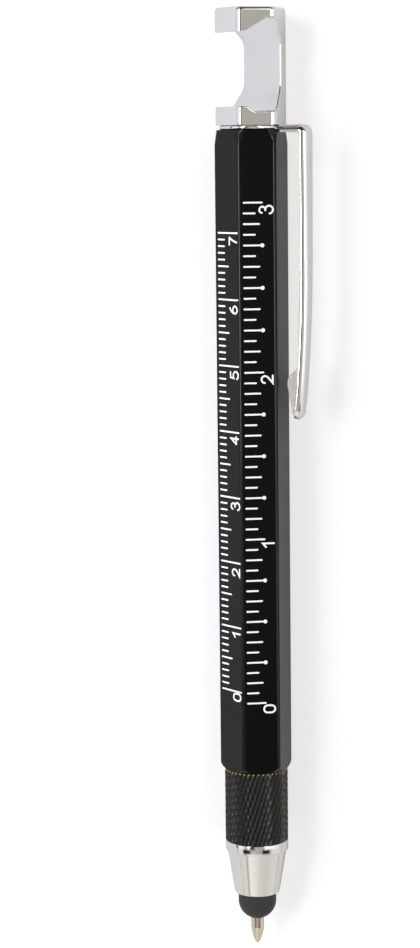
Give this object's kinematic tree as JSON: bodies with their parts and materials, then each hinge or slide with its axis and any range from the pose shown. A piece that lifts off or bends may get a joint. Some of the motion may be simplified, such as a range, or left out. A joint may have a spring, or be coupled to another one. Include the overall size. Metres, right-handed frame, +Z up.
{
  "type": "multi tool pen",
  "caption": "Hexagonal ballpoint pen with printed ruler, stylus dome, sprung clip, twist grip and a screw-off bottle-opener head that holds a driver bit.",
  "frame": {"origin": "on the rest flat, under the pen's axis, at the middle of the barrel's length", "axes": "+Y along the pen towards the head, +Z up from the rest flat, +X towards the clip's side"},
  "size_m": [0.0147, 0.1446, 0.0112],
  "materials": {
    "black_anodised": "gloss black anodised",
    "black_brass": "knurled, black painted brass",
    "white_ink": "printed",
    "chrome_casting": "polished",
    "chrome_sheet": "polished",
    "chrome_nose": "polished",
    "stylus_rubber": "matt conductive rubber",
    "point_metal": "nickel plated brass",
    "ball_metal": "tungsten carbide",
    "brass": "turned",
    "steel": "turned and hardened",
    "magnet": "nickel plated",
    "acetal": "moulded white acetal",
    "ink": "black ballpoint ink"
  },
  "bodies": {
    "barrel": {"barrel": "black_anodised", "inch_scale": "white_ink", "centimetre_scale": "white_ink", "lower_bush": "brass", "mechanism_housing": "brass", "chamber_plug": "acetal", "top_insert": "brass", "clip_collar": "chrome_sheet"},
    "clip": {"clip_arm": "chrome_sheet"},
    "grip": {"grip_sleeve": "black_brass", "nose_cone": "chrome_nose", "stylus_tip": "stylus_rubber", "point_guide": "brass", "front_tube": "brass", "retaining_ring": "steel", "cam_sleeve": "acetal"},
    "refill": {"refill_carrier": "acetal", "refill_tube": "brass", "ink": "ink", "refill_point": "point_metal", "writing_ball": "ball_metal"},
    "washer": {"head_washer": "acetal"},
    "catch": {"bit_magnet": "magnet", "socket_ring": "steel"},
    "head": {"opener_head": "chrome_casting", "head_stud": "steel"},
    "bit": {"driver_bit": "steel"}
  },
  "joints": [
    {"name": "grip_twist", "type": "hinge", "parent": "barrel", "child": "grip", "pos_m": [0, -0.0491, 0.0049], "axis": [0, 1, 0], "range_deg": [0, 180]},
    {"name": "refill_slide", "type": "slide", "parent": "barrel", "child": "refill", "axis": [0, 1, 0], "range_m": [0, 0.005]},
    {"name": "head_pull", "type": "slide", "parent": "barrel", "child": "washer", "axis": [0, 1, 0], "range_m": [0, 0.045]},
    {"name": "head_lift", "type": "slide", "parent": "washer", "child": "catch", "axis": [0, 1, 0], "range_m": [0, 0.004]},
    {"name": "head_turn", "type": "hinge", "parent": "catch", "child": "head", "pos_m": [0, 0.04978, 0.0049], "axis": [0, 1, 0], "range_deg": [0, 1440]},
    {"name": "bit_pull", "type": "slide", "parent": "head", "child": "bit", "axis": [0, -1, 0], "range_m": [0, 0.0112]},
    {"name": "clip_flex", "type": "hinge", "parent": "barrel", "child": "clip", "pos_m": [0.00468, 0.04944, 0.0076], "axis": [-0.5, 0, 0.866], "range_deg": [-1, 4], "stiffness_Nm_per_rad": 1.5}
  ],
  "couplings": [
    {"joint": "refill_slide", "follows": "grip_twist", "m_per_rad": 0.0015915},
    {"joint": "head_lift", "follows": "head_turn", "m_per_rad": 0.00015915}
  ]
}
